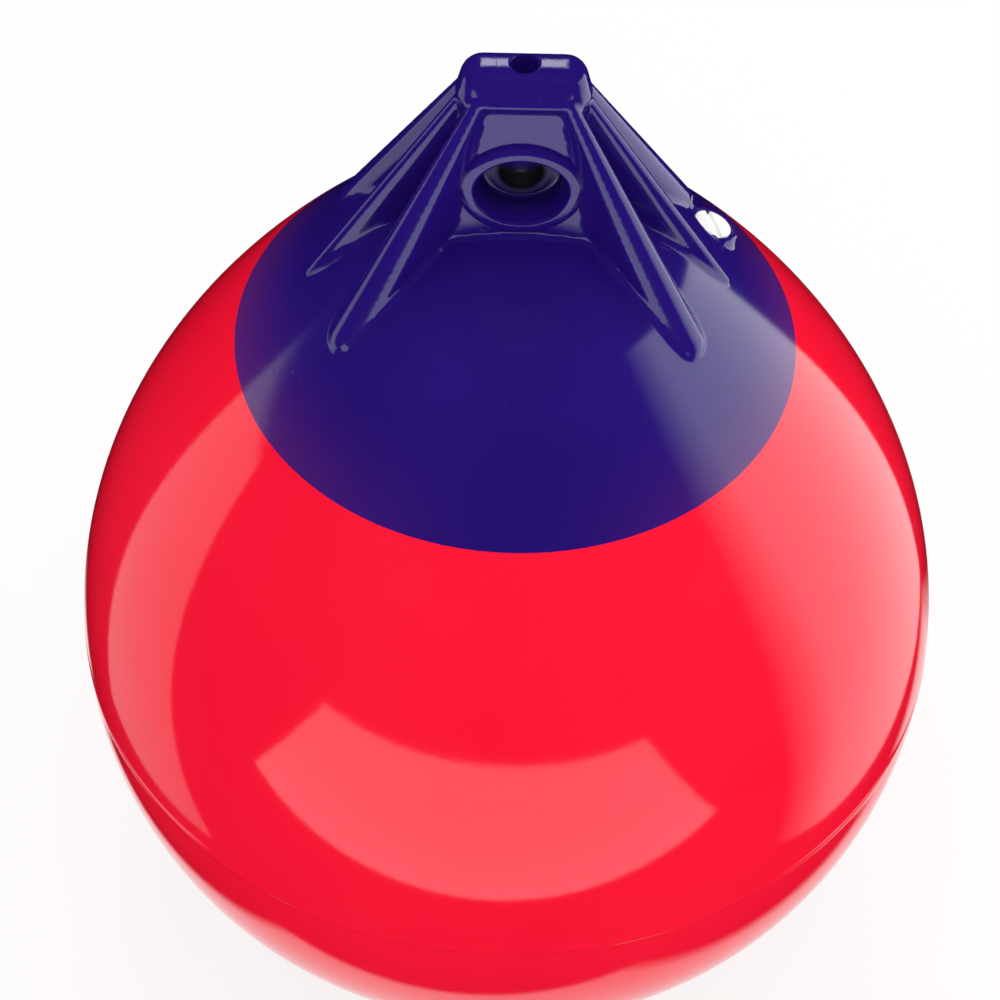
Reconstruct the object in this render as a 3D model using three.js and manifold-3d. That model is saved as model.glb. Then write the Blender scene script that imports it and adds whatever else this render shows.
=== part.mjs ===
import * as THREE from 'three';
import { ConvexGeometry } from 'three/addons/geometries/ConvexGeometry.js';
import { RoundedBoxGeometry } from 'three/addons/geometries/RoundedBoxGeometry.js';
import { mergeVertices } from 'three/addons/utils/BufferGeometryUtils.js';
import Module from 'manifold-3d';

// Ball fender: a hollow red vinyl ball with a solid blue vinyl rope hold moulded onto its upper end.
// Millimetres and degrees, +Z up the fender's axis, -Y the front, origin at the centre of the rope eye.

// Overall sizes
const ballDiameter = 280;
const overallLength = 382;
const crownAboveEye = 40;
const fitGap = 0.3;

// Float body
const wallThickness = 3;
const neckRadius = 54;
const shoulderRise = 74;
const shoulderLean = 46;
const seamWidth = 3;
const seamHeight = 0.5;

// Rope hold: skirt over the ball's shoulder, and the low dome the ribs stand on
const hemRadius = 86;
const hemThickness = 0.8;
const neckBelowDome = 21.5;
const seatBelowDome = 24;

// Rope eye: funnel mouth, web and throat, with a round collar
const mouthDiameter = 27.2;
const mouthSpan = 24;
const mouthLip = 1.6;
const bowlDiameter = 23;
const webThickness = 6;
const throatDiameter = 12.2;
const mouthTilt = 3.5;
const mouthFlatness = 0.85;
const collarWidth = 4.8;
const collarRound = 2.2;
const collarFlatness = 0.93;
const mouthRound = 1.1;

// Crown bar and the flat plate below it
const crownWidth = 37;
const crownThickness = 17;
const crownHeight = 15;
const crownRound = 7.2;
const crownHoleDiameter = 7.8;
const crownHoleDepth = 14;
const plateTopWidth = 26.4;
const plateFootWidth = 46.4;
const plateTopThickness = 16.4;
const coreStep = 1.2;
const coreTopRadius = 12;
const coreFootRadius = 28;

// Ribs down to the shoulder, three at each side
const ribTopRadius = 16.8;
const outerRibFootRadius = 61.5;
const middleRibFootRadius = 63.5;
const ribTopRound = 2;
const outerRibFootRound = 4.4;
const middleRibFootRound = 2.6;
const ribFootLift = 1.6;
const ribRootRound = 2;
const ribFootSpread = 6.2;
const ribSpread = 30;

// Valve: boss on the shoulder, between its neck and the hem, and the slotted plug in it
const valveAzimuth = 113;
const valveRadius = hemRadius * 0.738;
const valveTilt = 24;
const bossDiameter = 17;
const bossRise = 0;
const bossFlare = 3;
const plugHeadDiameter = 12.2;
const plugHeadThickness = 3;
const plugStandProud = 0.4;
const plugShankDiameter = 8;
const plugEndInside = 2;
const slotWidth = 1.8;
const slotDepth = 1.5;
const slotTurn = -75;

// Roundness of the turned surfaces
const ballSides = 56;
const innerSides = 36;
const boreSides = 24;

const wasm = await Module();
wasm.setup();

// Heights worked out from the sizes above
const ballRadius = ballDiameter / 2;
const ballCentreZ = crownAboveEye - overallLength + ballRadius;
const mouthRadius = mouthDiameter / 2;
const halfSpan = mouthSpan / 2;
const halfWeb = webThickness / 2;
const domeTopZ = -(mouthRadius + mouthLip);
const neckZ = domeTopZ - neckBelowDome;
const seatTopZ = domeTopZ - seatBelowDome;
const crownFootZ = crownAboveEye - crownHeight;
const crownLipZ = crownAboveEye - crownRound - 1;
const plateFootZ = domeTopZ - 8;
const plateFootThickness = mouthSpan + mouthLip;

function toManifold(source) {
  const bare = source.clone();
  for (const name of Object.keys(bare.attributes)) {
    if (name !== 'position') {
      bare.deleteAttribute(name);
    }
  }
  const merged = mergeVertices(bare, 1e-4);
  const corners = merged.index.array;
  const kept = [];
  for (let i = 0; i < corners.length; i += 3) {
    const [a, b, c] = [corners[i], corners[i + 1], corners[i + 2]];
    if (a !== b && b !== c && c !== a) {
      kept.push(a, b, c);
    }
  }
  const vertProperties = new Float32Array(merged.attributes.position.array);
  const triVerts = new Uint32Array(kept);
  return new wasm.Manifold(new wasm.Mesh({ numProp: 3, vertProperties, triVerts }));
}

function toGeometry(solid) {
  const mesh = solid.getMesh();
  const geometry = new THREE.BufferGeometry();
  geometry.setAttribute('position', new THREE.BufferAttribute(mesh.vertProperties, 3));
  geometry.setIndex(new THREE.BufferAttribute(mesh.triVerts, 1));
  return geometry;
}

// A solid turned about Z from outline points (radius, height) listed from the bottom up
function turned(points, sides) {
  const lathe = new THREE.LatheGeometry(points, sides);
  lathe.rotateX(Math.PI / 2);
  return toManifold(lathe);
}

// A solid turned about Y, for the eye; it is alike at the front and the back
function turnedAcross(points, sides) {
  return toManifold(new THREE.LatheGeometry(points, sides));
}

function hull(points) {
  return toManifold(new ConvexGeometry(points));
}

function spherePoints(centre, radius) {
  const ball = new THREE.SphereGeometry(radius, 8, 6);
  const at = ball.attributes.position;
  const points = [];
  for (let i = 0; i < at.count; i += 1) {
    points.push(new THREE.Vector3().fromBufferAttribute(at, i).add(centre));
  }
  return points;
}

// A point at a distance from the axis, at an azimuth counted from the front towards +X
function around(azimuth, radius, z) {
  const turn = THREE.MathUtils.degToRad(azimuth);
  return new THREE.Vector3(radius * Math.sin(turn), -radius * Math.cos(turn), z);
}

// Shoulder outline: from the ball's equator to the neck, and over the low dome to the axis
const equator = new THREE.Vector2(ballRadius, ballCentreZ);
const neck = new THREE.Vector2(neckRadius, neckZ);
const leanRun = shoulderLean * 0.66;
const leanRise = shoulderLean * 0.75;
const shoulder = new THREE.CubicBezierCurve(
  equator,
  new THREE.Vector2(ballRadius, ballCentreZ + shoulderRise),
  new THREE.Vector2(neckRadius + leanRun, neckZ - leanRise),
  neck,
);
const domeRun = neckBelowDome * 0.49;
const domeRise = neckBelowDome * 0.55;
const dome = new THREE.CubicBezierCurve(
  neck,
  new THREE.Vector2(neckRadius - domeRun, neckZ + domeRise),
  new THREE.Vector2(neckRadius * 0.52, domeTopZ),
  new THREE.Vector2(0, domeTopZ),
);

function shoulderAt(radius) {
  let low = 0;
  let high = 1;
  for (let i = 0; i < 50; i += 1) {
    const middle = (low + high) / 2;
    if (shoulder.getPoint(middle).x > radius) {
      low = middle;
    } else {
      high = middle;
    }
  }
  return low;
}

// Outward direction of the shoulder outline at t
function outward(t) {
  const along = shoulder.getTangent(t);
  return new THREE.Vector2(along.y, -along.x);
}

function shoulderInside(t, depth) {
  return shoulder.getPoint(t).addScaledVector(outward(t), -depth);
}

const hemT = shoulderAt(hemRadius);
const hemAlong = shoulder.getTangent(hemT);

// The seat under the rope hold: starts at the thin hem and sinks away from the shoulder to the axis
function seatPoints(depth, rows) {
  const start = shoulderInside(hemT, hemThickness + depth);
  const sink = hemAlong.clone().rotateAround(new THREE.Vector2(), THREE.MathUtils.degToRad(5));
  const curve = new THREE.CubicBezierCurve(
    start,
    start.clone().addScaledVector(sink, hemRadius * 0.36),
    new THREE.Vector2(hemRadius * 0.28, seatTopZ - depth),
    new THREE.Vector2(0, seatTopZ - depth),
  );
  return curve.getPoints(rows);
}

function sphereRows(radius, rows) {
  const points = [];
  for (let i = 0; i < rows; i += 1) {
    const turn = (Math.PI / 2) * (i / rows);
    points.push(new THREE.Vector2(radius * Math.sin(turn), ballCentreZ - radius * Math.cos(turn)));
  }
  return points;
}

function rowsOf(from, to, rows, pick) {
  const points = [];
  for (let i = 0; i <= rows; i += 1) {
    points.push(pick(from + (to - from) * (i / rows)));
  }
  return points;
}

// Valve axis: a frame on the shoulder, tilted outwards from the vertical
const valveT = shoulderAt(valveRadius);
const valveFace = around(valveAzimuth, valveRadius, shoulder.getPoint(valveT).y + bossRise);
const valveAxis = around(valveAzimuth, Math.sin(THREE.MathUtils.degToRad(valveTilt)), 0);
valveAxis.z = Math.cos(THREE.MathUtils.degToRad(valveTilt));
const valvePlace = new THREE.Matrix4().compose(
  valveFace,
  new THREE.Quaternion().setFromUnitVectors(new THREE.Vector3(0, 0, 1), valveAxis),
  new THREE.Vector3(1, 1, 1),
);

// A round bar about the valve's axis, between two heights over the face of the boss
function valveBar(topRadius, footRadius, footZ, topZ) {
  const bar = new THREE.CylinderGeometry(topRadius, footRadius, topZ - footZ, boreSides);
  bar.rotateX(Math.PI / 2);
  bar.translate(0, 0, (topZ + footZ) / 2);
  bar.applyMatrix4(valvePlace);
  return toManifold(bar);
}

const bossDepth = bossDiameter * 0.6;

// Depth from the face of the boss to the inner surface of the ball's wall, along the valve's axis
const seatFall = hemRadius * 0.05 + hemThickness;
const valveDepth = (bossRise + seatFall + wallThickness) / Math.cos(THREE.MathUtils.degToRad(valveTilt)) + 4;
const shankEnd = -(valveDepth + plugEndInside);
const boreReach = valveDepth * 2;

function floatBody() {
  const seam = [
    new THREE.Vector2(ballRadius, ballCentreZ - seamWidth / 2),
    new THREE.Vector2(ballRadius + seamHeight, ballCentreZ - seamWidth / 6),
    new THREE.Vector2(ballRadius + seamHeight, ballCentreZ + seamWidth / 6),
    new THREE.Vector2(ballRadius, ballCentreZ + seamWidth / 2),
  ];
  const outer = turned(
    [
      ...sphereRows(ballRadius, 16),
      ...seam,
      ...rowsOf(hemT * 0.06, hemT, 12, (t) => shoulder.getPoint(t)),
      ...seatPoints(fitGap, 9),
    ],
    ballSides,
  );
  const thicker = hemThickness + fitGap;
  const inner = turned(
    [
      ...sphereRows(ballRadius - wallThickness, 12),
      ...rowsOf(0, hemT * 0.98, 9, (t) => shoulderInside(t, wallThickness + thicker * (t / hemT) ** 4)),
      ...seatPoints(fitGap + wallThickness, 8),
    ],
    innerSides,
  );
  const bore = valveBar(plugShankDiameter / 2 + fitGap, plugShankDiameter / 2 + fitGap, -boreReach, 1);
  return outer.subtract(inner).subtract(bore);
}

// Skirt and low dome, filled down to the hem
function skirt() {
  const start = shoulderInside(hemT, hemThickness);
  const outline = [...rowsOf(hemT, 1, 10, (t) => shoulder.getPoint(t)), ...dome.getPoints(7).slice(1)];
  return turned([new THREE.Vector2(0, start.y), start, ...outline], ballSides);
}

// What the ball's seat takes out of the rope hold from underneath
function seatHollow() {
  const start = shoulderInside(hemT, hemThickness);
  const below = new THREE.Vector2(0, start.y - hemRadius);
  return turned([below, new THREE.Vector2(start.x, below.y), ...seatPoints(0, 9)], ballSides);
}

function slab(topWidth, footWidth, topThickness, footThickness) {
  const points = [];
  for (const side of [-1, 1]) {
    for (const face of [-1, 1]) {
      points.push(new THREE.Vector3((side * topWidth) / 2, (face * topThickness) / 2, crownLipZ));
      points.push(new THREE.Vector3((side * footWidth) / 2, (face * footThickness) / 2, plateFootZ));
    }
  }
  return hull(points);
}

function core() {
  const cone = turned(
    [
      new THREE.Vector2(0, plateFootZ - 4),
      new THREE.Vector2(coreFootRadius, plateFootZ - 4),
      new THREE.Vector2(coreTopRadius, crownLipZ),
      new THREE.Vector2(0, crownLipZ),
    ],
    ballSides,
  );
  const topThickness = plateTopThickness - 2 * coreStep;
  const footThickness = plateFootThickness - 2 * coreStep;
  return cone.intersect(slab(4 * crownWidth, 4 * crownWidth, topThickness, footThickness));
}

// One rib: a rounded crest from the crown's end down to the shoulder, thin where it leaves its root line
// and spreading towards its foot
function rib(azimuth, footRadius, footRound, roots) {
  const footZ = shoulder.getPoint(shoulderAt(footRadius)).y;
  const fall = new THREE.Vector2(footRadius - ribTopRadius, footZ - crownLipZ).normalize();
  const inset = new THREE.Vector2(fall.y, -fall.x);
  const top = new THREE.Vector2(ribTopRadius, crownLipZ).addScaledVector(inset, ribTopRound);
  const foot = new THREE.Vector2(footRadius, footZ + ribFootLift).addScaledVector(inset, footRound);
  return hull([
    ...spherePoints(around(azimuth, top.x, top.y), ribTopRound),
    ...spherePoints(around(azimuth, foot.x, foot.y), footRound),
    ...roots.flatMap((root) => spherePoints(root, ribRootRound)),
    ...spherePoints(around(azimuth, footRadius * 0.84, footZ - ribFootSpread * 0.7), ribFootSpread),
  ]);
}

function middleRib(side) {
  const azimuth = side * 90;
  const roots = [around(azimuth, coreTopRadius / 2, crownFootZ), around(azimuth, coreFootRadius / 2, plateFootZ)];
  return rib(azimuth, middleRibFootRadius, middleRibFootRound, roots);
}

// An outer rib springs from the corner of the plate
function outerRib(side, face) {
  const azimuth = side * (90 + face * ribSpread);
  const inset = ribRootRound + 0.4;
  const topX = plateTopWidth / 2 - inset;
  const topY = plateTopThickness / 2 - inset;
  const footX = plateFootWidth / 2 - inset;
  const footY = plateFootThickness / 2 - inset;
  const roots = [
    new THREE.Vector3(side * topX, face * topY, crownLipZ - inset),
    new THREE.Vector3(side * footX, face * footY, plateFootZ),
  ];
  return rib(azimuth, outerRibFootRadius, outerRibFootRound, roots);
}

function arcPoints(centreX, centreY, radius, fromTurn, toTurn, rows) {
  return rowsOf(fromTurn, toTurn, rows, (turn) => {
    const angle = THREE.MathUtils.degToRad(turn);
    return new THREE.Vector2(centreX + radius * Math.cos(angle), centreY + radius * Math.sin(angle));
  });
}

// Both halves of something turned about Y and flattened a little, each mouth tilted a little upwards
function bothWays(points, sides, flatness) {
  const half = turnedAcross(points, sides).scale([1, 1, flatness]);
  const back = half.rotate([mouthTilt, 0, 0]);
  return back.add(back.mirror([0, 1, 0]));
}

// Drum through the plate whose rounded rims are the eye's collars
function collar() {
  const rimX = mouthRadius + collarWidth - collarRound;
  const rimY = halfSpan - collarRound;
  return bothWays(
    [
      new THREE.Vector2(0, -halfWeb),
      new THREE.Vector2(rimX + collarRound, -halfWeb),
      ...arcPoints(rimX, rimY, collarRound, 0, 90, 4),
      new THREE.Vector2(0, halfSpan),
    ],
    36,
    collarFlatness,
  );
}

// Hollow of the eye: throat through the web, a funnel each way, the mouth's edge rounded
function eyeHollow() {
  const flare = mouthRadius + mouthRound;
  const throat = throatDiameter / 2;
  const bowl = bowlDiameter / 2;
  const funnel = bothWays(
    [
      new THREE.Vector2(0, halfWeb),
      new THREE.Vector2(bowl - 1.5, halfWeb),
      new THREE.Vector2(bowl, halfWeb + 1.5),
      new THREE.Vector2(mouthRadius, halfSpan - mouthRound),
      new THREE.Vector2(mouthRadius + mouthRound * 0.3, halfSpan - mouthRound * 0.3),
      new THREE.Vector2(flare, halfSpan),
      new THREE.Vector2(flare, halfSpan * 2),
      new THREE.Vector2(0, halfSpan * 2),
    ],
    36,
    mouthFlatness,
  );
  const through = turnedAcross(
    [
      new THREE.Vector2(0, -halfSpan),
      new THREE.Vector2(throat, -halfSpan),
      new THREE.Vector2(throat, halfSpan),
      new THREE.Vector2(0, halfSpan),
    ],
    boreSides,
  );
  return funnel.add(through);
}

function crownHole() {
  const hole = new THREE.CylinderGeometry(
    crownHoleDiameter / 2,
    crownHoleDiameter / 2,
    crownHoleDepth * 2,
    boreSides,
  );
  hole.rotateX(Math.PI / 2);
  hole.translate(0, 0, crownAboveEye);
  return toManifold(hole);
}

function ropeHold() {
  const crown = new RoundedBoxGeometry(crownWidth, crownThickness, crownHeight, 3, crownRound);
  crown.translate(0, 0, crownAboveEye - crownHeight / 2);
  let solid = skirt()
    .add(toManifold(crown))
    .add(slab(plateTopWidth, plateFootWidth, plateTopThickness, plateFootThickness))
    .add(core())
    .add(collar());
  for (const side of [-1, 1]) {
    solid = solid.add(middleRib(side)).add(outerRib(side, -1)).add(outerRib(side, 1));
  }
  const bossRadius = bossDiameter / 2;
  const headRadius = plugHeadDiameter / 2 + fitGap;
  const shankRadius = plugShankDiameter / 2 + fitGap;
  const headSeat = plugStandProud - plugHeadThickness - fitGap;
  return solid
    .subtract(seatHollow())
    .subtract(valveBar(bossRadius + bossFlare, bossRadius, 0, bossRadius))
    .add(valveBar(bossRadius, bossRadius + bossFlare, -bossDepth, 0).subtract(seatHollow()))
    .subtract(valveBar(headRadius, headRadius, headSeat, bossRadius))
    .subtract(valveBar(shankRadius, shankRadius, -boreReach, 1))
    .subtract(eyeHollow())
    .subtract(crownHole());
}

function valvePlug() {
  const headFoot = plugStandProud - plugHeadThickness;
  const head = valveBar(plugHeadDiameter / 2, plugHeadDiameter / 2, headFoot, plugStandProud);
  const shank = valveBar(plugShankDiameter / 2, plugShankDiameter / 2, shankEnd, headFoot + 0.5);
  const slot = new THREE.BoxGeometry(plugHeadDiameter * 2, slotWidth, slotDepth * 2);
  slot.rotateZ(THREE.MathUtils.degToRad(slotTurn));
  slot.translate(0, 0, plugStandProud);
  slot.applyMatrix4(valvePlace);
  return head.add(shank).subtract(toManifold(slot));
}

function vinyl(color, roughness) {
  return new THREE.MeshStandardMaterial({ color, roughness, metalness: 0 });
}

function part(name, solid, material) {
  const mesh = new THREE.Mesh(toGeometry(solid), material);
  mesh.name = name;
  return mesh;
}

const fender = new THREE.Group();
fender.name = 'ball_fender';
fender.add(part('float_body', floatBody(), vinyl('#f20f30', 0.18)));
fender.add(part('rope_hold', ropeHold(), vinyl('#26107a', 0.2)));
fender.add(part('valve_plug', valvePlug(), vinyl('#f4f4f2', 0.35)));

export default fender;
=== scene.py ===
import math

import bpy
import numpy as np
from mathutils import Euler, Matrix, Vector
from mathutils.bvhtree import BVHTree


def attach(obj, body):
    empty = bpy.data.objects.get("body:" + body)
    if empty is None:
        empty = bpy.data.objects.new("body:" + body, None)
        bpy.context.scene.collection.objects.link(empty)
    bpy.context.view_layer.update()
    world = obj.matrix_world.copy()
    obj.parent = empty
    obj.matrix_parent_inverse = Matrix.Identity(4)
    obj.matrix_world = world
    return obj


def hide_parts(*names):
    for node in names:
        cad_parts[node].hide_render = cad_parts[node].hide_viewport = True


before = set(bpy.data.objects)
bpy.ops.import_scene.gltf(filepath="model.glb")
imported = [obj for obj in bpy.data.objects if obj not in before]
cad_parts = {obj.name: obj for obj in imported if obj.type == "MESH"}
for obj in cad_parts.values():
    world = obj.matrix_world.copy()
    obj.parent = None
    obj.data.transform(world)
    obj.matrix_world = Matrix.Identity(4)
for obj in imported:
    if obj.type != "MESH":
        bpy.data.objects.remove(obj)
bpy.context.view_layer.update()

mm = 0.001

# the camera, as the photograph was taken: high in front, looking down on the rope hold
cameraView = {
    "place": (-0.01441, -0.75135, 0.73353),
    "turn": (40.33, -1.154, 0.503),  # degrees
    "lens": 129.35,  # on a 36 mm sensor
}

# outlines the pieces share, as bends (radius, height) in millimetres
profile = {
    "shoulder": ((140, -202), (140, -128), (84.36, -71.2), (54, -36.7)),
    "dome": ((54, -36.7), (43.465, -24.875), (28.08, -15.2), (0, -15.2)),
    "hemRadius": 86,
    "hemThickness": 0.8,
    "seatTop": -39.2,
    "seatTurn": 5,  # degrees between the shoulder and the seat under it
    "seatReach": (0.36, 0.28),  # shares of the hem's radius, at the hem and at the top
}


def bend(points, steps, start=0.0, end=1.0):
    # a cubic bend as a list of points, from one share of it to another
    made = []
    for i in range(steps + 1):
        t = start + (end - start) * i / steps
        s = 1 - t
        share = (s * s * s, 3 * s * s * t, 3 * s * t * t, t * t * t)
        made.append(tuple(sum(w * p[k] for w, p in zip(share, points)) for k in (0, 1)))
    return made


def shareAtRadius(points, radius):
    low, high = 0.0, 1.0
    for _ in range(50):
        middle = (low + high) / 2
        if bend(points, 1, middle, middle)[0][0] > radius:
            low = middle
        else:
            high = middle
    return low


hemShare = shareAtRadius(profile["shoulder"], profile["hemRadius"])
hemRadius, hemHeight = bend(profile["shoulder"], 1, hemShare, hemShare)[0]


def seatBend(depth, steps):
    # the seat of the rope hold on the ball, from under the hem in to the axis
    before = bend(profile["shoulder"], 1, hemShare - 0.001, hemShare - 0.001)[0]
    run, rise = hemRadius - before[0], hemHeight - before[1]
    size = math.hypot(run, rise)
    run, rise = run / size, rise / size
    down = profile["hemThickness"] + depth
    start = (hemRadius - rise * down, hemHeight + run * down)
    turn = math.radians(profile["seatTurn"])
    sink = (run * math.cos(turn) - rise * math.sin(turn), run * math.sin(turn) + rise * math.cos(turn))
    atHem, atTop = (hemRadius * share for share in profile["seatReach"])
    top = profile["seatTop"] - depth
    return bend((start, (start[0] + sink[0] * atHem, start[1] + sink[1] * atHem),
                 (atTop, top), (0, top)), steps)


def clearSelection():
    if bpy.context.mode != "OBJECT":
        bpy.ops.object.mode_set(mode="OBJECT")
    bpy.ops.object.select_all(action="DESELECT")


def pick(*objs):
    clearSelection()
    for obj in objs:
        obj.select_set(True)
    bpy.context.view_layer.objects.active = objs[0]


def editMode(obj):
    pick(obj)
    bpy.ops.object.mode_set(mode="EDIT")
    bpy.ops.mesh.select_all(action="SELECT")


def objectMode():
    bpy.ops.object.mode_set(mode="OBJECT")


def joined(name, *objs):
    pick(*objs)
    bpy.ops.object.join()
    objs[0].name = name
    objs[0].data.name = name
    return objs[0]


def settle(obj):
    # the object's place goes into its mesh
    pick(obj)
    bpy.ops.object.transform_apply(location=True, rotation=True, scale=True)


def modifier(obj, kind, settings):
    # one modifier, set and applied
    pick(obj)
    made = obj.modifiers.new(kind.lower(), kind)
    for key, value in settings.items():
        setattr(made, key, value)
    bpy.ops.object.modifier_apply(modifier=made.name)


def spun(name, outline, turns, across=False):
    # one corner drawn out along the outline (radius, height) and spun round the axis
    clearSelection()
    bpy.ops.mesh.primitive_plane_add(size=0.001)
    obj = bpy.context.object
    obj.name = name
    obj.data.name = name
    bpy.ops.object.mode_set(mode="EDIT")
    bpy.ops.mesh.select_all(action="SELECT")
    bpy.ops.mesh.merge(type="CENTER")
    here = Vector((0, 0, 0))
    for step, (radius, height) in enumerate(outline):
        there = Vector((radius, height, 0) if across else (radius, 0, height)) * mm
        if step == 0:
            bpy.ops.transform.translate(value=there)
        else:
            bpy.ops.mesh.extrude_region_move(TRANSFORM_OT_translate={"value": there - here})
        here = there
    bpy.ops.mesh.select_all(action="SELECT")
    bpy.ops.mesh.spin(steps=turns, angle=2 * math.pi, center=(0, 0, 0),
                      axis=(0, 1, 0) if across else (0, 0, 1))
    bpy.ops.mesh.select_all(action="SELECT")
    bpy.ops.mesh.remove_doubles(threshold=1e-6)
    bpy.ops.mesh.normals_make_consistent(inside=False)
    objectMode()
    return obj


def arc(centre, radius, start, end, steps):
    # points of an arc, in degrees
    made = []
    for i in range(steps + 1):
        turn = math.radians(start + (end - start) * i / steps)
        made.append((centre[0] + radius * math.cos(turn), centre[1] + radius * math.sin(turn)))
    return made


def around(azimuth, radius, height):
    # a place round the axis, the azimuth counted from the front towards +X
    turn = math.radians(azimuth)
    return Vector((radius * math.sin(turn), -radius * math.cos(turn), height))


def hullOf(name, balls):
    # the tight skin over a few balls, each (place, radius) in millimetres
    clearSelection()
    place, radius = balls[0]
    bpy.ops.mesh.primitive_uv_sphere_add(segments=20, ring_count=12, radius=radius * mm,
                                         location=place * mm)
    obj = bpy.context.object
    obj.name = name
    settle(obj)
    editMode(obj)
    for place, radius in balls[1:]:
        bpy.ops.mesh.primitive_uv_sphere_add(segments=20, ring_count=12, radius=radius * mm,
                                             location=place * mm)
    bpy.ops.mesh.select_all(action="SELECT")
    bpy.ops.mesh.convex_hull()
    bpy.ops.mesh.select_all(action="SELECT")
    bpy.ops.mesh.normals_make_consistent(inside=False)
    objectMode()
    return obj


def cornersOf(obj):
    at = np.empty(len(obj.data.vertices) * 3)
    obj.data.vertices.foreach_get("co", at)
    return at.reshape(-1, 3)


def setCorners(obj, at):
    obj.data.vertices.foreach_set("co", at.ravel())
    obj.data.update()


# fillets of the rope hold; lengths in millimetres
filletSizes = {
    "rounds": 4,
    "passes": 6,
    "hollow": 0.03,  # how far a corner lies below its neighbours where it is filled in full
    "spread": (3, 0.8),  # rings of corners that are filled with it, share kept at each ring
    "crisp": ((23, -27, -12), (13.5, 25, 34)),  # half width, bottom, top: here corners stay sharp
    "crispFrom": 6.5,  # before and behind the plate
    "crispShare": 0.06,
}


def fillCreases(obj, sizes):
    # only the hollow corners are smoothed, so they fill into fillets and the crests keep their shape
    rings, keptAtRing = sizes["spread"]
    for _ in range(sizes["rounds"]):
        mesh = obj.data
        at = cornersOf(obj)
        ends = np.empty(len(mesh.edges) * 2, dtype=np.int64)
        mesh.edges.foreach_get("vertices", ends)
        ends = ends.reshape(-1, 2)
        count = np.bincount(ends.ravel(), minlength=len(at))
        near = np.zeros_like(at)
        for k in range(3):
            near[:, k] = np.bincount(ends[:, 0], at[ends[:, 1], k], len(at))
            near[:, k] += np.bincount(ends[:, 1], at[ends[:, 0], k], len(at))
        near /= count[:, None]
        normals = np.empty(len(at) * 3)
        mesh.vertices.foreach_get("normal", normals)
        hollow = ((near - at) * normals.reshape(-1, 3)).sum(1)
        weight = np.clip(hollow / (sizes["hollow"] * mm), 0, 1)
        for _ in range(rings):
            spread = np.bincount(ends[:, 0], weight[ends[:, 1]], len(at))
            spread += np.bincount(ends[:, 1], weight[ends[:, 0]], len(at))
            weight = np.maximum(weight, keptAtRing * spread / count)
        for halfWidth, bottom, top in sizes["crisp"]:
            inside = (np.abs(at[:, 0]) < halfWidth * mm) & (np.abs(at[:, 1]) > sizes["crispFrom"] * mm)
            inside &= (at[:, 2] > bottom * mm) & (at[:, 2] < top * mm)
            weight[inside] *= sizes["crispShare"]
        group = obj.vertex_groups.new(name="creases")
        for i in np.nonzero(weight > 0.02)[0]:
            group.add([int(i)], float(weight[i]), "REPLACE")
        modifier(obj, "SMOOTH", {"factor": 0.5, "iterations": sizes["passes"],
                                 "vertex_group": "creases"})
        obj.vertex_groups.clear()


def evenOut(obj, rounds):
    # smoothing that gives back the size it takes
    for _ in range(rounds):
        modifier(obj, "SMOOTH", {"factor": 0.5, "iterations": 1})
        modifier(obj, "SMOOTH", {"factor": -0.52, "iterations": 1})


def fuse(obj, voxel):
    # crossing shapes become one skin
    modifier(obj, "REMESH", {"mode": "VOXEL", "voxel_size": voxel * mm, "adaptivity": 0})


def skinOf(obj):
    # the skin of a piece as it is now, to draw its corners back to later
    return BVHTree.FromObject(obj, bpy.context.evaluated_depsgraph_get())


def drawBack(obj, skin, near, far):
    # corners nearer to the skin than near go onto it, those beyond far stay in their fillets
    at = cornersOf(obj)
    for i, corner in enumerate(at):
        place, normal, face, away = skin.find_nearest(Vector(corner), far * mm)
        if place is not None:
            share = min(1, (far * mm - away) / ((far - near) * mm))
            at[i] = corner + (np.array(place) - corner) * share * share
    setCorners(obj, at)


def smoothShaded(obj, angle):
    pick(obj)
    bpy.ops.object.shade_smooth_by_angle(angle=math.radians(angle))


def cutBy(obj, cutter):
    modifier(obj, "BOOLEAN", {"object": cutter, "operation": "DIFFERENCE", "solver": "EXACT"})
    bpy.data.objects.remove(cutter)


# the red ball
ballSizes = {
    "radius": 140,
    "centre": -202,
    "seamHalf": 1.1,
    "seamHeight": 0.18,
    "seamEdge": 0.9,  # degrees of the lower half given up to the seam
    "gap": 0.3,
    "plugBore": (4.3, -26, 8),  # radius, bottom and top along the valve's own axis
    "turns": 220,
}


def makeFloatBody(sizes):
    radius, centre = sizes["radius"], sizes["centre"]
    outline = arc((0, centre), radius, -90, -sizes["seamEdge"], 64)
    half, proud = sizes["seamHalf"], sizes["seamHeight"]
    for i in range(1, 8):
        turn = math.pi * i / 8
        outline.append((radius + proud * math.sin(turn) ** 0.7, centre - half * math.cos(turn)))
    outline += bend(profile["shoulder"], 60, 0.012, hemShare)
    outline += seatBend(sizes["gap"], 24)
    ball = spun("floatBody", outline, sizes["turns"])
    radius, bottom, top = sizes["plugBore"]
    bore = [(0, bottom), (radius, bottom), (radius, top), (0, top)]
    cutBy(ball, onValve(spun("plugBore", bore, 48)))
    return ball


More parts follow.
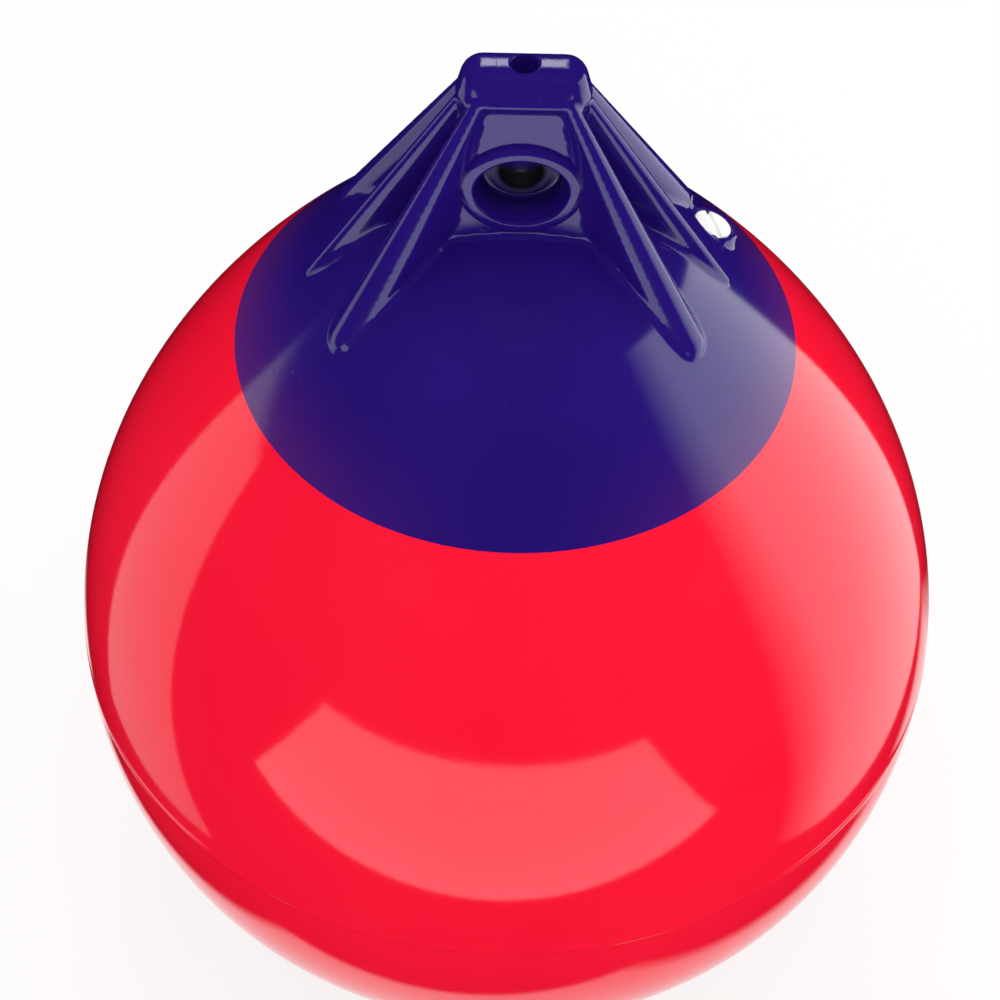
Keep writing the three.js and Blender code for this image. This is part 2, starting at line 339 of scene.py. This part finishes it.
# the blue rope hold; lengths in millimetres
holdSizes = {
    "voxel": 0.92,
    "crownTop": (11.9, 1.3, 33.5, 6.5),  # half length, half depth, height, roundness
    # half length, turn, height, roundness of its two lower rings
    "crownRims": ((10.1, 9.0, 30.4, 0.6), (12.6, 5.0, 27.6, 2.0)),
    "plateTop": (26.4, 14.8, 31.6),  # width, thickness, height
    "plateFoot": (46.4, 29.6, -23.2),
    "mouthPlane": 13.3,
    "mouthTilt": 4.2,
    "mouthFlatness": 0.85,
    "collarRadius": 18.8,
    "collarRound": 2.9,
    "collarFlatness": 0.86,
    "ribTop": (16.8, 31.8, 2.0),  # radius, height, roundness
    "outerFoot": (61.8, 3.2, 7.4, 0.9),  # radius, roundness, roundness and place of its spread
    "middleFoot": (63.5, 2.6, 3.8, 0.86),
    "footLift": 1.6,
    "ribSpread": 30,
    "rootRound": 2,
    "rootInset": (0.4, 2.0),  # from the plate's side, and into its thickness
    "core": (28, 12, 59, 2.3, 0.42),  # lower and upper radius, height, centre, flatness
    "skirtRadius": 93,  # rough size, cut back to the hem
    # radius, place along the bore; the funnel's wall, from its floor out
    "funnelFloor": (10.4, 3, 1.4),  # radius, place, roundness
    "funnelWall": ((12.3, 7.5), (13.2, 10.0)),
    "funnelLip": (14.7, 1.1),  # radius, roundness
    "throat": (6.1, 3.6, 0.8),  # radius, half length, roundness
    "crownHole": (3.9, 26, 38.9, 1.0),  # radius, bottom, start of its lip, roundness
}

valveSizes = {
    "azimuth": 113,
    "radius": 64.7,
    "tilt": 24,
    "boss": 8.5,
    "bossFlare": 3,
    "bossRim": (0.9, 0.6),  # roundness, height over its face
    "head": 6.1,
    "headDepth": 2.6,
    "proud": 0.7,
    "shank": 4.0,
    "shankEnd": -16,
    "thread": (0.5, 1.6, -4.2),  # depth, pitch, where it ends under the head
    "slotWidth": 1.8,
    "slotDepth": 1.5,
    "slotTurn": -75,
    "gap": 0.3,
}


def shoulderHeight(radius):
    share = shareAtRadius(profile["shoulder"], radius)
    return bend(profile["shoulder"], 1, share, share)[0][1]


def valvePlace():
    face = around(valveSizes["azimuth"], valveSizes["radius"], shoulderHeight(valveSizes["radius"]))
    tilt = math.radians(valveSizes["tilt"])
    axis = around(valveSizes["azimuth"], math.sin(tilt), math.cos(tilt))
    turn = Vector((0, 0, 1)).rotation_difference(axis)
    return Matrix.Translation(face * mm) @ turn.to_matrix().to_4x4()


def onValve(obj):
    obj.matrix_world = valvePlace() @ obj.matrix_world
    settle(obj)
    return obj


def block(name, size, centre):
    clearSelection()
    bpy.ops.mesh.primitive_cube_add(size=1, location=Vector(centre) * mm)
    obj = bpy.context.object
    obj.name = name
    obj.scale = Vector(size) * mm
    settle(obj)
    return obj


def facedTo(obj, side, tilt, flatness):
    # flattened a little and turned to the front (-1) or the back (1), its face tilted up
    obj.scale = (1, 1, flatness)
    settle(obj)
    obj.rotation_euler = (math.radians(tilt if side > 0 else 180 - tilt), 0, 0)
    settle(obj)


def makeRib(sizes, azimuth, foot, roots):
    topRadius, topHeight, topRound = sizes["ribTop"]
    footRadius, footRound, spread, spreadPlace = foot
    spreadRadius = footRadius * spreadPlace
    footHeight = shoulderHeight(footRadius)
    fall = Vector((footRadius - topRadius, footHeight - topHeight)).normalized()
    inset = Vector((fall.y, -fall.x))
    top = Vector((topRadius, topHeight)) + inset * topRound
    end = Vector((footRadius, footHeight + sizes["footLift"])) + inset * footRound
    balls = [
        (around(azimuth, top.x, top.y), topRound),
        (around(azimuth, end.x, end.y), footRound),
        (around(azimuth, spreadRadius, shoulderHeight(spreadRadius) - spread * 0.9), spread),
    ]
    balls += [(root, sizes["rootRound"]) for root in roots]
    return hullOf("rib", balls)


def makeRopeHold(sizes):
    parts = []
    # skirt and low dome
    lowShare = shareAtRadius(profile["shoulder"], sizes["skirtRadius"])
    outline = bend(profile["shoulder"], 70, lowShare, 1) + bend(profile["dome"], 40)[1:]
    outline = [(0, outline[0][1])] + outline
    parts.append(spun("ropeHold", outline, 200))

    # crown bar, rounded over from its rim to the top
    length, depth, height, turn = sizes["crownTop"]
    balls = [(Vector((x * length, y * depth, height)), turn) for x in (-1, 1) for y in (-1, 1)]
    for length, radius, height, turn in sizes["crownRims"]:
        for x, y in arc((length, 0), radius, -90, 90, 8):
            balls += [(Vector((x, y, height)), turn), (Vector((-x, y, height)), turn)]
    parts.append(hullOf("crown", balls))

    # flat plate, wider and thicker towards its foot
    topWidth, topThick, topHeight = sizes["plateTop"]
    footWidth, footThick, footHeight = sizes["plateFoot"]
    plate = block("plate", (footWidth, footThick, topHeight - footHeight),
                  (0, 0, (topHeight + footHeight) / 2))
    at = cornersOf(plate)
    upper = at[:, 2] > topHeight * mm - 1e-5
    at[upper, 0] *= topWidth / footWidth
    at[upper, 1] *= topThick / footThick
    setCorners(plate, at)
    parts.append(plate)

    # core the ribs stand round
    lower, upper, height, centre, flatness = sizes["core"]
    clearSelection()
    bpy.ops.mesh.primitive_cone_add(vertices=64, radius1=lower * mm, radius2=upper * mm,
                                    depth=height * mm, location=(0, 0, centre * mm))
    core = bpy.context.object
    core.scale = (1, flatness, 1)
    settle(core)
    parts.append(core)

    # three ribs at each side
    for side in (-1, 1):
        roots = [around(side * 90, 6, 25), around(side * 90, 14, -23.2)]
        parts.append(makeRib(sizes, side * 90, sizes["middleFoot"], roots))
        for front in (-1, 1):
            inset, sink = (sizes["rootRound"] + more for more in sizes["rootInset"])
            roots = [
                Vector((side * (topWidth / 2 - inset), front * (topThick / 2 - sink),
                        topHeight - inset)),
                Vector((side * (footWidth / 2 - inset), front * (footThick / 2 - sink), footHeight)),
            ]
            azimuth = side * (90 + front * sizes["ribSpread"])
            parts.append(makeRib(sizes, azimuth, sizes["outerFoot"], roots))
    hold = joined("ropeHold", *parts)
    skin = skinOf(hold)
    fuse(hold, sizes["voxel"])
    print("rope hold fused:", len(hold.data.vertices))

    # room cut for the valve's boss, and the boss in it
    boss, wide = valveSizes["boss"], valveSizes["boss"] + valveSizes["bossFlare"]
    rimRound, rimTop = valveSizes["bossRim"]
    room = onValve(spun("room", [(0, 0), (boss, 0), (wide, boss), (0, boss)], 64))
    cutBy(hold, room)
    pad = onValve(spun("pad", [(0, -10), (wide, -10)]
                       + arc((boss - rimRound, rimTop - rimRound), rimRound, 0, 90, 6)
                       + [(0, rimTop)], 64))
    hold = joined("ropeHold", hold, pad)
    fuse(hold, sizes["voxel"])
    evenOut(hold, 6)
    fillCreases(hold, filletSizes)
    evenOut(hold, 3)
    drawBack(hold, skin, 0.15, 0.45)
    evenOut(hold, 2)
    print("rope hold smoothed:", len(hold.data.vertices))

    # the bare shoulder goes exactly onto its outline
    line = np.array(bend(profile["shoulder"], 200, lowShare, 1) + bend(profile["dome"], 120)[1:]) * mm
    at = cornersOf(hold)
    radius = np.hypot(at[:, 0], at[:, 1])
    over = at[:, 2] - np.interp(radius, line[::-1, 0], line[::-1, 1])
    share = np.clip(1 - (np.abs(over) / (0.9 * mm)) ** 2, 0, 1)
    share[at[:, 2] < -90 * mm] = 0
    at[:, 2] -= over * share
    setCorners(hold, at)

    # cut off at the hem, and drawn in along the seat
    editMode(hold)
    bpy.ops.mesh.bisect(plane_co=(0, 0, hemHeight * mm), plane_no=(0, 0, 1), clear_inner=True,
                        use_fill=False)
    bpy.ops.mesh.select_all(action="DESELECT")
    bpy.ops.mesh.select_mode(type="VERT")
    bpy.ops.mesh.select_non_manifold(extend=False)
    here = (hemRadius, hemHeight)
    for there in seatBend(0, 9):
        bpy.ops.mesh.extrude_region_move(
            TRANSFORM_OT_translate={"value": (0, 0, (there[1] - here[1]) * mm)})
        size = max(there[0] / here[0], 1e-4)
        bpy.ops.transform.resize(value=(size, size, 1), center_override=(0, 0, 0))
        here = (max(there[0], 1e-3), there[1])
    bpy.ops.mesh.merge(type="CENTER")
    bpy.ops.mesh.select_all(action="SELECT")
    bpy.ops.mesh.normals_make_consistent(inside=False)
    objectMode()

    # drum of the eye, each rim tilted a little upwards
    rim = sizes["collarRadius"] - sizes["collarRound"]
    face = sizes["mouthPlane"]
    for side in (-1, 1):
        drum = spun("drum", [(0, 4), (sizes["collarRadius"], 4)]
                    + arc((rim, face - sizes["collarRound"]), sizes["collarRound"], 0, 90, 8)
                    + [(0, face)], 128, across=True)
        facedTo(drum, side, sizes["mouthTilt"], sizes["collarFlatness"])
        modifier(hold, "BOOLEAN", {"object": drum, "operation": "UNION", "solver": "EXACT"})
        bpy.data.objects.remove(drum)

    # the eye, the hole in the crown and the seat of the plug
    floorRadius, floorPlace, floorRound = sizes["funnelFloor"]
    lipRadius, lipRound = sizes["funnelLip"]
    for side in (-1, 1):
        hollow = [(0, floorPlace), (floorRadius, floorPlace)]
        hollow += arc((floorRadius, floorPlace + floorRound), floorRound, -90, -8, 5)
        hollow += sizes["funnelWall"]
        hollow += arc((lipRadius, face - lipRound), lipRound, 175, 92, 6)
        hollow += [(lipRadius + 0.9, face + 0.02), (lipRadius + 0.9, 20), (0, 20)]
        mouth = spun("mouth", hollow, 128, across=True)
        facedTo(mouth, side, sizes["mouthTilt"], sizes["mouthFlatness"])
        cutBy(hold, mouth)
    radius, half, edge = sizes["throat"]
    throat = spun("throat", [(0, -half), (radius + 0.5, -half)]
                  + arc((radius + edge, -half + 1.4), edge, 240, 180, 3)
                  + arc((radius + edge, half - 1.4), edge, 180, 120, 3)
                  + [(radius + 0.5, half), (0, half)], 64, across=True)
    cutBy(hold, throat)
    radius, bottom, lip, edge = sizes["crownHole"]
    crownHole = spun("crownHole", [(0, bottom), (radius - 0.5, bottom), (radius, bottom + 0.5),
                                   (radius, lip)]
                     + arc((radius + edge, lip), edge, 180, 95, 5)
                     + [(radius + edge, 46), (0, 46)], 48)
    cutBy(hold, crownHole)
    shank, head = (valveSizes[part] + valveSizes["gap"] for part in ("shank", "head"))
    seat = onValve(spun("seat", [(0, -34), (shank, -34), (shank, -3), (head, -3), (head, -0.2),
                                 (head + 0.5, 0.62), (head + 0.5, 6), (0, 6)], 64))
    cutBy(hold, seat)
    return hold


def makeValvePlug(sizes):
    head, proud, shank = sizes["head"], sizes["proud"], sizes["shank"]
    depth, pitch, threadEnd = sizes["thread"]
    outline = [(0, sizes["shankEnd"])] + arc((shank - 0.6, sizes["shankEnd"] + 0.6), 0.6, -90, 0, 3)
    height = sizes["shankEnd"] + 1.5
    while height < threadEnd:
        outline += [(shank - depth, height), (shank, height + 0.35),
                    (shank, height + 0.65), (shank - depth, height + 1.0)]
        height += pitch
    outline += [(shank - 0.3, -3.4), (shank - 0.3, -sizes["headDepth"])]
    outline += arc((head - 0.3, -sizes["headDepth"] + 0.3), 0.3, -90, 0, 3)
    outline += arc((head - 0.6, proud - 0.6), 0.6, 0, 90, 6)
    outline += [(head * 0.5, proud + 0.05), (0, proud + 0.08)]
    plug = spun("valvePlug", outline, 96)
    slot = block("slot", (head * 4, sizes["slotWidth"], sizes["slotDepth"] * 2), (0, 0, proud))
    editMode(slot)
    bpy.ops.mesh.bevel(offset=0.25 * mm, segments=3, affect="EDGES")
    objectMode()
    slot.rotation_euler = (0, 0, math.radians(sizes["slotTurn"]))
    settle(slot)
    cutBy(plug, slot)
    return onValve(plug)


class Paint:
    # a material's node tree, with one way to add a node
    def __init__(self, name):
        self.material = bpy.data.materials.new(name)
        self.material.use_nodes = True
        self.tree = self.material.node_tree
        self.tree.nodes.clear()

    def node(self, kind, settings=None, values=None, out=0):
        made = self.tree.nodes.new(kind)
        for key, value in (settings or {}).items():
            setattr(made, key, value)
        for key, value in (values or {}).items():
            if isinstance(value, Reading):
                self.tree.links.new(value.socket, made.inputs[key])
            else:
                made.inputs[key].default_value = value
        return Reading(self, made.outputs[out]) if made.outputs else made

    def mixed(self, share, first, second):
        return self.node("ShaderNodeMix", {"data_type": "RGBA"}, {0: share, 6: first, 7: second}, 2)

    def noise(self, place, scale, detail):
        return self.node("ShaderNodeTexNoise", None,
                         {"Vector": place, "Scale": scale, "Detail": detail})

    def split(self, place):
        parts = self.node("ShaderNodeSeparateXYZ", None, {"Vector": place})
        return [Reading(self, parts.socket.node.outputs[axis]) for axis in "XYZ"]

    def finish(self, surface):
        self.node("ShaderNodeOutputMaterial", None, {"Surface": surface})
        return self.material


class Reading:
    # a socket that can be reckoned with
    def __init__(self, paint, socket):
        self.paint = paint
        self.socket = socket

    def math(self, operation, first, second):
        return self.paint.node("ShaderNodeMath", {"operation": operation}, {0: first, 1: second})

    def __add__(self, other):
        return self.math("ADD", self, other)

    def __radd__(self, other):
        return self.math("ADD", other, self)

    def __sub__(self, other):
        return self.math("SUBTRACT", self, other)

    def __rsub__(self, other):
        return self.math("SUBTRACT", other, self)

    def __mul__(self, other):
        return self.math("MULTIPLY", self, other)

    def __rmul__(self, other):
        return self.math("MULTIPLY", other, self)

    def __truediv__(self, other):
        return self.math("DIVIDE", self, other)

    def __pow__(self, other):
        return self.math("POWER", self, other)

    def between(self, low, high):
        # 0 below low, 1 above high
        return self.paint.node("ShaderNodeMapRange", {"clamp": True},
                               {"Value": self, "From Min": low, "From Max": high})


def srgb(red, green, blue):
    # a colour as it is seen on screen, 0 to 255
    def linear(v):
        v = v / 255
        return v / 12.92 if v <= 0.04045 else ((v + 0.055) / 1.055) ** 2.4
    return (linear(red), linear(green), linear(blue), 1)


def specks(paint, place, perMetre, size):
    # small round dots scattered over a surface
    cells = paint.node("ShaderNodeTexVoronoi", {"feature": "F1"}, {"Vector": place, "Scale": perMetre})
    return 1 - cells.between(size * 0.5, size)


def scratches(paint, place, turn, perMetre, thin):
    # fine streaks that run one way
    turned = paint.node("ShaderNodeMapping", None, {
        "Vector": place, "Rotation": turn, "Scale": (perMetre, perMetre * 0.03, perMetre)})
    streak = paint.noise(turned, 1.0, 2.0)
    return streak.between(1 - thin, 1 - thin + 0.03)


def mouldedSurface(paint, colour, rough, height, finish):
    # the surface, with its relief as a bump
    strength, distance = finish["relief"]
    bump = paint.node("ShaderNodeBump", None, {
        "Height": height, "Strength": strength, "Distance": distance})
    return paint.finish(paint.node("ShaderNodeBsdfPrincipled", None, {
        "Base Color": colour, "Roughness": rough, "Normal": bump, "IOR": finish["ior"]}))


# scales of the patterns count their repeats in a metre; relief is strength and depth in metres
redFinish = {
    "colour": srgb(252, 27, 57),
    "deep": srgb(246, 16, 50),
    "roughness": 0.05,
    "broad": 9.0,
    "fine": 260.0,
    "peel": 620.0,
    "streaks": ((0.4, 0.2, 0.9), 700.0, 0.27),  # turn, scale, share of the surface
    "relief": (0.35, 0.0012),
    "ior": 1.44,
}

blueFinish = {
    "colour": srgb(40, 18, 116),
    "deep": srgb(32, 11, 104),
    "thin": srgb(104, 38, 112),  # the thin blue over the red near the hem, with a painted glow at the left and right sides
    "thinBand": (0.064, 0.0856),  # metres from the axis
    "thinShare": 0.75,
    "shade": srgb(5, 3, 18),  # painted shade, in the bowls and throat of the eye
    "roughness": 0.08,
    "broad": 16.0,
    "fine": 420.0,
    "peel": 520.0,
    "crownPeel": (0.028, 0.037),  # height where the crown's rougher skin sets in, metres
    "dots": (95.0, 0.05),
    "streaks": ((0.2, 0.7, 0.3), 900.0, 0.29),
    "relief": (0.4, 0.001),
    "ior": 1.44,
}

whiteFinish = {
    "colour": srgb(252, 252, 250),
    "shade": srgb(240, 240, 236),
    "roughness": 0.34,
    "broad": 160.0,
    "grain": 1800.0,
    "relief": (0.2, 0.0002),
    "ior": 1.5,
}


def redVinyl(finish):
    paint = Paint("redVinyl")
    place = paint.node("ShaderNodeTexCoord", None, None, "Object")
    broad = paint.noise(place, finish["broad"], 3.0)
    fine = paint.noise(place, finish["fine"], 4.0)
    peel = paint.noise(place, finish["peel"], 1.0)
    streaks = scratches(paint, place, *finish["streaks"])
    colour = paint.mixed(broad.between(0.3, 0.75), finish["colour"], finish["deep"])
    rough = finish["roughness"] + broad * 0.02 + fine * 0.02 + streaks * 0.1
    height = broad * 0.35 + peel * 0.02 - streaks * 0.02
    return mouldedSurface(paint, colour, rough, height, finish)


def blueVinyl(finish):
    paint = Paint("blueVinyl")
    place = paint.node("ShaderNodeTexCoord", None, None, "Object")
    x, y, z = paint.split(place)
    broad = paint.noise(place, finish["broad"], 3.0)
    fine = paint.noise(place, finish["fine"], 4.0)
    peel = paint.noise(place, finish["peel"], 2.0)
    dots = specks(paint, place, *finish["dots"])
    streaks = scratches(paint, place, *finish["streaks"])
    colour = paint.mixed(broad.between(0.3, 0.7), finish["colour"], finish["deep"])
    # the blue layer runs out thin over the red towards the hem, and at the left and right sides it
    # also carries a painted glow of the side light
    radius = (x * x + y * y) ** 0.5
    sideGlow = (x * x) / (x * x + y * y + 1e-6)
    thin = radius.between(*finish["thinBand"]) ** 1.8 * sideGlow * (0.8 + broad * 0.2)
    colour = paint.mixed(thin * finish["thinShare"], colour, finish["thin"])
    # painted deep shade in the bowls of the eye and in its throat, darker still in the back bowl
    eye = (x * x + z * z) ** 0.5
    depth = y.math("ABSOLUTE", y, 0)
    bowlShade = (1 - eye.between(0.0118, 0.0142)) * (1 - depth.between(0.006, 0.0115))
    throat = (1 - eye.between(0.0064, 0.0086)) * (1 - depth.between(0.0040, 0.0062))
    paintedEyeShade = bowlShade * (0.5 + y.between(0, 0.004) * 0.42)
    colour = paint.mixed(paintedEyeShade.math("MAXIMUM", paintedEyeShade, throat), colour, finish["shade"])
    rough = finish["roughness"] + broad * 0.04 + fine * 0.04 + streaks * 0.15 + dots * 0.2
    rough = rough + throat * 0.7 + paintedEyeShade * 0.1
    high = z.between(*finish["crownPeel"])
    height = broad * 0.2 + peel * (0.02 + high * 0.12) - streaks * 0.03 + dots * 0.06
    return mouldedSurface(paint, colour, rough, height, finish)


def whitePlastic(finish):
    paint = Paint("whitePlastic")
    place = paint.node("ShaderNodeTexCoord", None, None, "Object")
    broad = paint.noise(place, finish["broad"], 3.0)
    grain = paint.noise(place, finish["grain"], 2.0)
    colour = paint.mixed(broad.between(0.45, 0.75), finish["colour"], finish["shade"])
    rough = finish["roughness"] + grain * 0.12
    return mouldedSurface(paint, colour, rough, grain, finish)


def dress(obj, material, node):
    obj.data.materials.clear()
    obj.data.materials.append(material)
    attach(obj, "root")
    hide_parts(node)


floatBody = makeFloatBody(ballSizes)
smoothShaded(floatBody, 40)
dress(floatBody, redVinyl(redFinish), "float_body")
print("red ball made:", len(floatBody.data.polygons))

ropeHold = makeRopeHold(holdSizes)
smoothShaded(ropeHold, 45)
dress(ropeHold, blueVinyl(blueFinish), "rope_hold")
print("rope hold made:", len(ropeHold.data.polygons))

valvePlug = makeValvePlug(valveSizes)
smoothShaded(valvePlug, 35)
dress(valvePlug, whitePlastic(whiteFinish), "valve_plug")
print("valve plug made:", len(valvePlug.data.polygons))

# camera, floor and light; the soft boxes are given by their corners in metres
stageLight = {
    "floor": -0.342,
    "floorColour": (0.9, 0.9, 0.9, 1),
    "floorGlow": 0.82,  # share of plain white the camera sees over the lit floor
    "world": 0.8,
    # name: four corners (front top, back top, back bottom, front bottom), brightness at the top
    # and at the bottom, softness of the front or left side and of the other sides
    "softboxes": {
        "leftBox": (((-1, 0.0, 0.038), (-1, 0.385, 0.038), (-1, 0.52, -1.30), (-1, -0.24, -1.30)),
                    1.40, 0.55, 0.03, 0.03),
        "rightBox": (((1, -0.50, 0.58), (1, 0.82, -0.02), (1, 1.02, -1.35), (1, -0.42, -1.12)),
                     2.9, 1.0, 0.24, 0.02),
        "frontBox": (((-1.50, -1.50, -0.168), (0.98, -1.48, -0.190), (1.01, -0.89, -0.712),
                      (-1.40, -0.85, -0.747)), 2.3, 2.3, 0.006, 0.01),
        "backBox": (((-0.27, 0.85, 1.38), (0.27, 0.85, 1.38), (0.27, 1.38, 0.85), (-0.27, 1.38, 0.85)),
                    9.0, 6.0, 0.25, 0.3),
        "lowBox": (((-0.68, -0.20, -1.6), (-0.68, 1.2, -1.6), (1.2, 1.2, -1.6), (0.5, -0.5, -1.6)),
                   0.95, 0.85, 0.05, 0.08),
    },
    # soft fill that makes no highlight: place, where it faces, size, brightness
    "fills": {
        "highFill": ((0.1, -1.1, 2.2), (0.0, 0.0, -0.2), 1.4, 2.4),
    },
}


def makeCamera(view):
    lens = bpy.data.cameras.new("camera")
    lens.lens = view["lens"]
    lens.sensor_width = 36
    lens.clip_end = 50
    camera = bpy.data.objects.new("camera", lens)
    bpy.context.scene.collection.objects.link(camera)
    camera.location = view["place"]
    camera.rotation_euler = Euler([math.radians(v) for v in view["turn"]])
    bpy.context.scene.camera = camera


def hangSoftbox(name, corners, high, low, softFront, soft):
    # a glowing sheet, dimmed towards its edges and from its first side to the opposite one
    clearSelection()
    bpy.ops.mesh.primitive_plane_add(size=2)
    sheet = bpy.context.object
    sheet.name = name
    first, second, third, fourth = corners
    setCorners(sheet, np.array([fourth, third, first, second], dtype=float))
    paint = Paint(name)
    across, up, _ = paint.split(paint.node("ShaderNodeTexCoord", None, None, "UV"))
    edge = across.between(0, softFront) * (1 - across).between(0, soft)
    edge = edge * up.between(0, soft) * (1 - up).between(0, soft)
    share = (low / high + up * (1 - low / high)) * edge
    glow = paint.mixed(share, (0, 0, 0, 1), (1, 1, 1, 1))
    surface = paint.node("ShaderNodeEmission", None, {"Color": glow, "Strength": high})
    sheet.data.materials.append(paint.finish(surface))
    sheet.visible_camera = False


def hangFill(name, place, target, size, brightness):
    lamp = bpy.data.lights.new(name, "AREA")
    lamp.shape = "SQUARE"
    lamp.size = size
    lamp.energy = brightness * size * size * math.pi
    box = bpy.data.objects.new(name, lamp)
    bpy.context.scene.collection.objects.link(box)
    box.location = place
    box.rotation_euler = (Vector(place) - Vector(target)).to_track_quat("Z", "Y").to_euler()
    box.visible_camera = False
    box.visible_glossy = False


def makeStage(sizes):
    clearSelection()
    bpy.ops.mesh.primitive_plane_add(size=30, location=(0, 0, sizes["floor"]))
    floor = bpy.context.object
    floor.name = "floor"
    settle(floor)
    paint = Paint("paleFloor")
    lit = paint.node("ShaderNodeBsdfDiffuse", None, {"Color": sizes["floorColour"]})
    white = paint.node("ShaderNodeEmission", None, {"Color": (1, 1, 1, 1), "Strength": 1.0})
    path = paint.node("ShaderNodeLightPath", None, None, "Is Camera Ray")
    glossyRay, throughRay = (Reading(paint, path.socket.node.outputs[ray])
                             for ray in ("Is Glossy Ray", "Is Transmission Ray"))
    seen = path + glossyRay + throughRay
    surface = paint.node("ShaderNodeMixShader", None,
                         {0: seen.between(0, 1) * sizes["floorGlow"], 1: lit, 2: white})
    floor.data.materials.append(paint.finish(surface))
    floor.visible_glossy = False
    world = bpy.data.worlds.new("studio")
    bpy.context.scene.world = world
    world.use_nodes = True
    level = sizes["world"]
    world.node_tree.nodes["Background"].inputs["Color"].default_value = (level, level, level, 1)
    world.cycles_visibility.glossy = False
    for name, box in sizes["softboxes"].items():
        hangSoftbox(name, *box)
    for name, (place, target, size, brightness) in sizes["fills"].items():
        hangFill(name, place, target, size, brightness)


makeCamera(cameraView)
makeStage(stageLight)
print("stage lit:", len(stageLight["softboxes"]), "soft boxes")
bpy.context.scene.view_settings.view_transform = "Standard"
